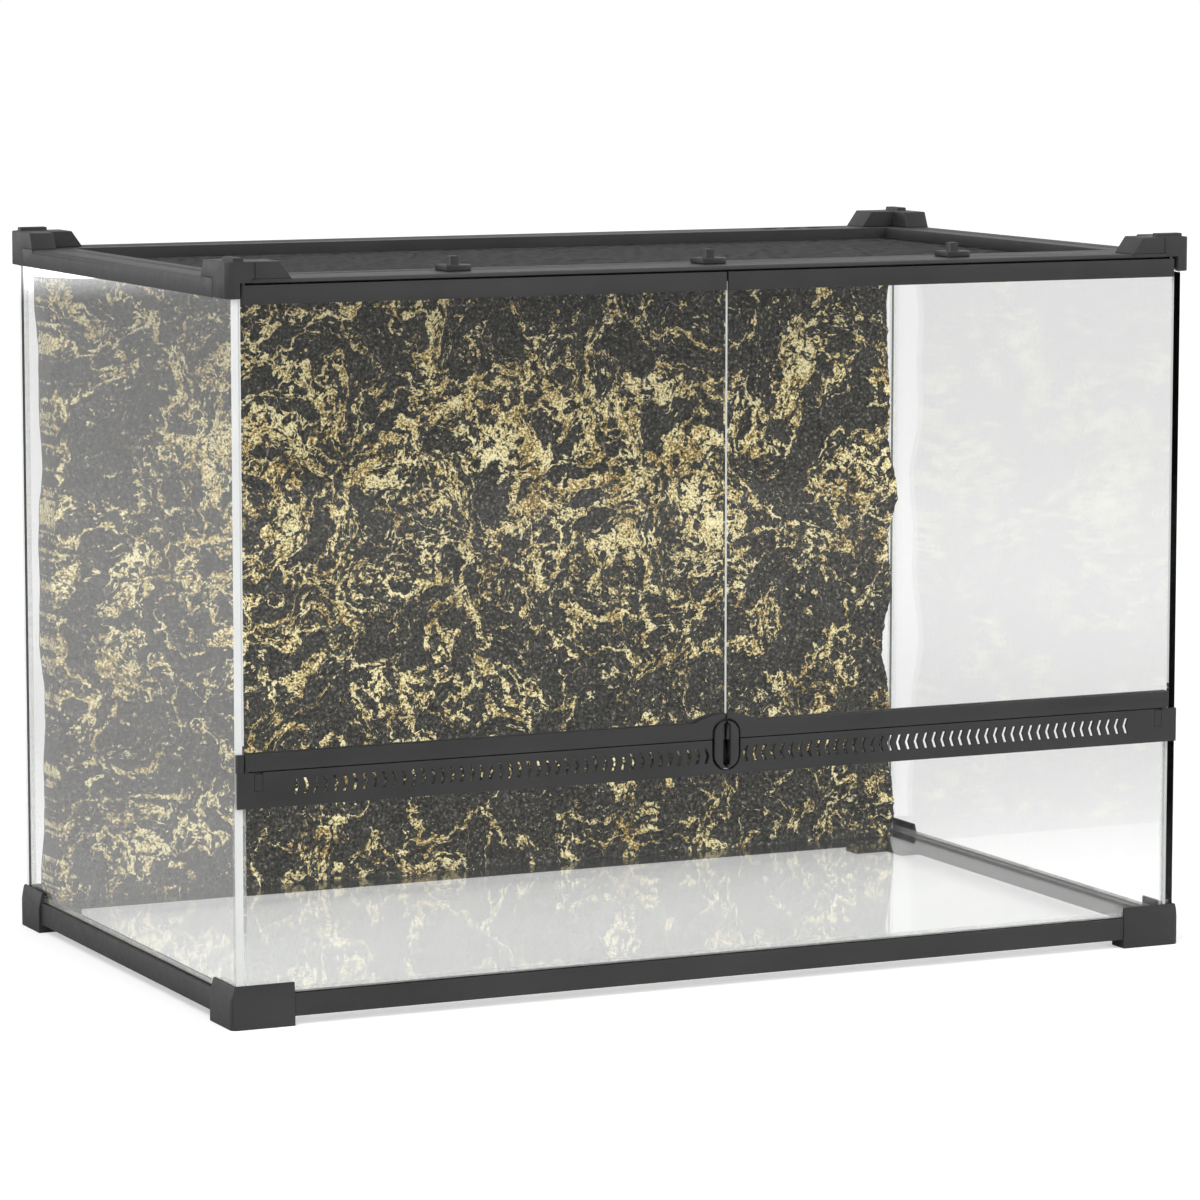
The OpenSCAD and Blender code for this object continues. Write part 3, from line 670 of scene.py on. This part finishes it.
def wave(degrees):
    """A sine, as the CAD model writes it."""
    return math.sin(math.radians(degrees))


def crest(degrees):
    """1 on a sharp crest, every 180 degrees, falling to 0 between."""
    return 1 - abs(wave(degrees))


def main_relief(x, z):
    """Height of the relief, 0 to 1, at a place in millimetres."""
    turn = 180 / RIDGE_SPACING
    first = crest(turn * (0.86 * x + 0.50 * z) + 55 * wave(1.1 * z) + 28 * wave(2.3 * x + 50))
    second = crest(turn * (0.80 * z - 0.55 * x) + 50 * wave(0.9 * x + 70))
    swell = wave(3.4 * x + 60 * wave(1.9 * z)) * wave(3.1 * z + 40 * wave(1.5 * x) + 90)
    return 0.42 * first + 0.32 * second + 0.26 * (0.5 + 0.5 * swell)


def cut_edge(v):
    """How far the panel's upright edge wanders, in millimetres, at a share of its height."""
    return 3.5 * wave(760 * v + 20) + 2 * wave(1900 * v)


def rock_point(u, v, floor_top, back):
    """A point of the front, in metres, for shares u across and v up."""
    left = ROCK_LEFT + 0.5 * cut_edge(v + 0.3)
    right = ROCK_RIGHT + cut_edge(v)
    top = ROCK_TOP - 3 * (1 + wave(1300 * u))
    x = left + (right - left) * u
    z = floor_top + (top - floor_top) * v
    deep = ROCK_DEPTHS[0] + (ROCK_DEPTHS[1] - ROCK_DEPTHS[0]) * main_relief(x, z) - VEIN_DEPTH
    return (x * MM, (back - deep) * MM, z * MM)


def rock_slab(low, high):
    """A closed slab inside the CAD node's box: front grid, rim walls and one back face."""
    across = ROCK_COLUMNS + 1
    verts = [rock_point(i / ROCK_COLUMNS, j / ROCK_ROWS, low.z / MM, high.y / MM)
             for j in range(ROCK_ROWS + 1) for i in range(across)]
    faces = []
    for j in range(ROCK_ROWS):
        for i in range(ROCK_COLUMNS):
            a = j * across + i
            faces.append((a, a + 1, a + across + 1, a + across))
    rim = list(range(across))
    rim += [j * across + ROCK_COLUMNS for j in range(1, ROCK_ROWS + 1)]
    rim += [ROCK_ROWS * across + i for i in range(ROCK_COLUMNS - 1, -1, -1)]
    rim += [j * across for j in range(ROCK_ROWS - 1, 0, -1)]
    first_back = len(verts)
    verts += [(verts[k][0], high.y, verts[k][2]) for k in rim]
    count = len(rim)
    for k in range(count):
        after = (k + 1) % count
        faces.append((rim[after], rim[k], first_back + k, first_back + after))
    verts.append(((low.x + high.x) / 2, high.y, (low.z + high.z) / 2))
    hub = len(verts) - 1
    for k in range(count):
        faces.append((first_back + (k + 1) % count, first_back + k, hub))
    mesh = bpy.data.meshes.new("rock_slab")
    mesh.from_pydata(verts, [], faces)
    return mesh


rock_low, rock_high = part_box("rock_background")
slab = rock_slab(rock_low, rock_high)
slab_depth = round((rock_high.y - rock_low.y) / MM)
print("slab", len(slab.vertices), "vertices, depth", slab_depth, "mm")

# %% [markdown]
# ## The rock panel: fine relief
#
# A Geometry Nodes modifier adds what is too fine for CAD: veins, chips and a torn rim.
# Its three inputs are lengths, so each can be turned up or down by itself. The back stays
# flat, because the panel stands against the rear glass.

# %% The relief tree
RELIEF_INPUTS = (("Vein height", 3.4 * MM), ("Chip", 3.2 * MM), ("Edge wander", 1.2 * MM))
FLAT_BACK = 10 * MM


def new_tree(name, inputs):
    """A Geometry Nodes tree with a mesh in, a mesh out and named number inputs."""
    tree = bpy.data.node_groups.new(name, "GeometryNodeTree")
    face = tree.interface
    face.new_socket("Geometry", in_out="INPUT", socket_type="NodeSocketGeometry")
    for label, value in inputs:
        socket = face.new_socket(label, in_out="INPUT", socket_type="NodeSocketFloat")
        socket.default_value = value
    face.new_socket("Geometry", in_out="OUTPUT", socket_type="NodeSocketGeometry")
    return tree, tree.nodes.new("NodeGroupInput"), tree.nodes.new("NodeGroupOutput")


def run_tree(mesh, tree, values, name):
    """Runs a tree on a mesh with the given input values and returns the plain result."""
    host = bpy.data.objects.new(name + "_host", mesh)
    scene.collection.objects.link(host)
    modifier = host.modifiers.new(name, "NODES")
    modifier.node_group = tree
    for item in tree.interface.items_tree:
        if item.item_type == "SOCKET" and item.in_out == "INPUT" and item.name in values:
            modifier[item.identifier] = values[item.name]
    return bake_modifiers(host, name)


def relief_tree(material):
    """Pushes the slab's front outwards by the ridge pattern and wanders its upright rims."""
    tree, source, output = new_tree("stone_relief", RELIEF_INPUTS)
    place = tree.nodes.new("GeometryNodeInputPosition").outputs[0]
    parts = add(tree, "ShaderNodeSeparateXYZ", {"Vector": place})
    net = stone_pattern(tree, place)[0]
    chips = noise(tree, place, 62.0, detail=6.0, rough=0.62)
    out = calc(tree, "MULTIPLY", calc(tree, "POWER", net, 0.8), source.outputs["Vein height"])
    out = calc(tree, "MULTIPLY_ADD", chips, source.outputs["Chip"], out)
    front = calc(tree, "LESS_THAN", parts.outputs["Y"], rock_high.y - FLAT_BACK)
    side = calc(tree, "SIGN", parts.outputs["X"])
    near = spread(tree, calc(tree, "ABSOLUTE", parts.outputs["X"]), 0.32, 0.37)
    tall = add(tree, "ShaderNodeCombineXYZ", {"X": side, "Z": parts.outputs["Z"]}).outputs[0]
    wander = calc(tree, "MULTIPLY", calc(tree, "SUBTRACT", noise(tree, tall, 24.0, 4.0), 0.5),
                  source.outputs["Edge wander"])
    sideways = calc(tree, "MULTIPLY", calc(tree, "MULTIPLY", wander, 4.0), near)
    move = add(tree, "ShaderNodeCombineXYZ", {
        "X": sideways, "Y": calc(tree, "MULTIPLY", calc(tree, "MULTIPLY", out, -1.0), front)})
    shaped = add(tree, "GeometryNodeSetPosition", {"Geometry": source.outputs["Geometry"],
                 "Offset": move.outputs[0]})
    real = add(tree, "GeometryNodeRealizeInstances", {"Geometry": shaped.outputs[0]})
    dressed = add(tree, "GeometryNodeSetMaterial", {"Geometry": real.outputs[0]})
    dressed.inputs["Material"].default_value = material
    tree.links.new(dressed.outputs[0], output.inputs["Geometry"])
    return tree


print("relief inputs:", ", ".join(label for label, value in RELIEF_INPUTS))

# %% [markdown]
# ## The rock panel: paint
#
# A dark coat goes on first, then a nearly dry brush of gold drags over the high ground
# and leaves ragged, broken edges. In the shader the same network, roughened by two finer
# noises, decides where the gold sits. The noises have little detail, because octaves
# finer than a pixel only average out to grey. The back is bare foam, which no brush meets.
# The light specks in the coat and the palest flecks in the gold are partly real tone and
# partly painted highlights and glints.

# %% Stone paint
COAT_DARK = (0.012, 0.0115, 0.010)
COAT_LIGHT = (0.062, 0.060, 0.052)
# Light specks: partly grey flecks in the coat, partly painted highlights of its crinkled
# surface.
COAT_FLECK_AND_GLINT = (0.26, 0.24, 0.19)
OCHRE = (0.20, 0.115, 0.028)
GOLD = (0.55, 0.42, 0.16)
# Palest gold: partly paler leaf, partly painted glints.
GOLD_PALE_AND_GLINT = (0.95, 0.87, 0.54)
FOAM = (0.030, 0.030, 0.029)
BARE_BACK = 1.5 * MM


def stone_paint():
    """Charcoal coat, gold on the ridges and a bare back."""
    material, tree, surface, coords = blank_material("moulded_rock")
    place = coords.outputs["Object"]
    net, crowd = stone_pattern(tree, place)
    ragged = noise(tree, place, 115.0, detail=3.0, rough=0.65)
    specks = noise(tree, place, 330.0, detail=1.0)
    cover = calc(tree, "MULTIPLY_ADD", calc(tree, "SUBTRACT", ragged, 0.5), 1.3, net)
    cover = calc(tree, "MULTIPLY_ADD", calc(tree, "SUBTRACT", specks, 0.5), 0.9, cover)
    cover = calc(tree, "MULTIPLY_ADD", calc(tree, "SUBTRACT", crowd, 0.5), 0.12, cover)
    parts = add(tree, "ShaderNodeSeparateXYZ", {"Vector": place})
    rear = rock_high.y
    bare = spread(tree, parts.outputs["Y"], rear - BARE_BACK, rear - BARE_BACK / 2)
    mask = spread(tree, cover, 0.72, 0.80, smooth=True)
    mask = calc(tree, "SUBTRACT", mask, bare, clamp=True)
    # The coat's light specks are partly grey flecks and partly painted highlights on its
    # crinkled surface.
    coat = ramp(tree, noise(tree, place, 380.0, detail=1.0),
                [(0.35, COAT_DARK), (0.62, COAT_LIGHT), (0.76, COAT_FLECK_AND_GLINT)])
    coat = add(tree, "ShaderNodeMix", {0: bare, 6: coat, 7: (*FOAM, 1.0)}, data_type="RGBA")
    coat = coat.outputs[2]
    # The palest flecks are partly paler leaf and partly painted glints that stand in for the
    # gold's sparkle.
    fine = calc(tree, "MULTIPLY_ADD", noise(tree, place, 540.0, 1.0), 0.6,
                calc(tree, "MULTIPLY", noise(tree, place, 34.0, 4.0, 0.65), 0.4))
    leaf = ramp(tree, fine, [(0.40, OCHRE), (0.48, GOLD), (0.57, GOLD_PALE_AND_GLINT)])
    blend = add(tree, "ShaderNodeMix", {0: mask}, data_type="RGBA")
    tree.links.new(coat, blend.inputs[6])
    tree.links.new(leaf, blend.inputs[7])
    tree.links.new(blend.outputs[2], surface.inputs["Base Color"])
    tree.links.new(spread(tree, mask, 0, 1, 0.70, 0.45), surface.inputs["Roughness"])
    surface.inputs["Specular IOR Level"].default_value = 0.3
    height = calc(tree, "MULTIPLY_ADD", specks, 0.5, calc(tree, "MULTIPLY", ragged, 0.5))
    height = calc(tree, "MULTIPLY_ADD", mask, 0.2, height)
    bump(tree, surface, height, 4.0 * MM, 1.0)
    return material


moulded_rock = stone_paint()
rock_mesh = run_tree(slab, relief_tree(moulded_rock), dict(RELIEF_INPUTS), "rock_panel")
smooth_shade(rock_mesh, math.radians(60))
rock_panel = adopt("rock_panel", rock_mesh, body_of(nodes["rock_background"])[0])
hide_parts("rock_background")
print("rock panel", len(rock_mesh.polygons), "faces")

# %% [markdown]
# ## The lid screen
#
# The lid carries a woven wire screen that lets light and heat in. In CAD it is an open
# grid of few cells, and this screen stands for it. Hundreds of equal wires are work for
# Geometry Nodes: one straight square wire is set on a line of points along each side, one
# layer over the other. Truly woven wires would need a bend at each of some seventy
# thousand crossings, which nobody can see at this size.

# %% Screen wires
SCREEN_INPUTS = (("Width", 0.741), ("Depth", 0.380), ("Pitch", 2.0 * MM), ("Wire", 0.46 * MM))
LAYER_HEIGHT = 0.18 * MM


def wire_layer(tree, source, along, level):
    """Wires along one axis ('X' or 'Y'), spaced over the other, at a height."""
    length, span = ("Width", "Depth") if along == "X" else ("Depth", "Width")
    wire = source.outputs["Wire"]
    sizes = {"X": wire, "Y": wire, "Z": wire, along: source.outputs[length]}
    size = add(tree, "ShaderNodeCombineXYZ", sizes)
    bar = add(tree, "GeometryNodeMeshCube", {"Size": size.outputs[0]})
    pitch = source.outputs["Pitch"]
    count = calc(tree, "FLOOR", calc(tree, "DIVIDE", source.outputs[span], pitch))
    row = calc(tree, "MULTIPLY", calc(tree, "SUBTRACT", count, 1.0), pitch)
    step_axis = "Y" if along == "X" else "X"
    start = add(tree, "ShaderNodeCombineXYZ", {
        step_axis: calc(tree, "MULTIPLY", row, -0.5), "Z": level})
    step = add(tree, "ShaderNodeCombineXYZ", {step_axis: pitch})
    line = add(tree, "GeometryNodeMeshLine", {"Count": count, "Start Location":
               start.outputs[0], "Offset": step.outputs[0]})
    put = add(tree, "GeometryNodeInstanceOnPoints", {"Points": line.outputs[0],
              "Instance": bar.outputs[0]})
    return put.outputs[0]


def screen_tree(material):
    """Two layers of wires, one across the other."""
    tree, source, output = new_tree("lid_screen", SCREEN_INPUTS)
    join = tree.nodes.new("GeometryNodeJoinGeometry")
    for along, level in (("X", LAYER_HEIGHT), ("Y", -LAYER_HEIGHT)):
        tree.links.new(wire_layer(tree, source, along, level), join.inputs[0])
    real = add(tree, "GeometryNodeRealizeInstances", {"Geometry": join.outputs[0]})
    dressed = add(tree, "GeometryNodeSetMaterial", {"Geometry": real.outputs[0]})
    dressed.inputs["Material"].default_value = material
    tree.links.new(dressed.outputs[0], output.inputs["Geometry"])
    return tree


def coated_wire():
    material, tree, surface, coords = blank_material("dark_mesh")
    along = add(tree, "ShaderNodeMapping", {"Vector": coords.outputs["Object"],
                "Scale": (1.0, 0.2, 1.0)})
    # Streaky tone along the wires: partly dust, partly a painted sheen that stands in for glints
    # on the woven bends.
    dust_and_sheen = noise(tree, along.outputs["Vector"], 300.0, detail=1.0)
    tone = ramp(tree, dust_and_sheen, [(0.35, (0.004, 0.004, 0.004)), (0.65, (0.060, 0.060, 0.060))])
    tree.links.new(tone, surface.inputs["Base Color"])
    tree.links.new(spread(tree, dust_and_sheen, 0.3, 0.7, 0.42, 0.55), surface.inputs["Roughness"])
    return material


dark_mesh = coated_wire()
low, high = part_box("lid_mesh")
screen_size = dict(SCREEN_INPUTS, Width=high.x - low.x, Depth=high.y - low.y)
screen = run_tree(bpy.data.meshes.new("screen_seed"), screen_tree(dark_mesh), screen_size,
                  "lid_screen")
screen.transform(Matrix.Translation((low + high) / 2))
lid_screen = adopt("lid_screen", screen, body_of(nodes["lid_mesh"])[0])
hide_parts("lid_mesh")
print("lid screen", len(screen.polygons), "faces")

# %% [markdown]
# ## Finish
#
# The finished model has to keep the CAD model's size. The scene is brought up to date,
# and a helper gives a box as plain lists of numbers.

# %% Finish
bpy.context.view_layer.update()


def plain(box):
    """A box as plain lists of numbers."""
    return [[float(value) for value in corner] for corner in box]
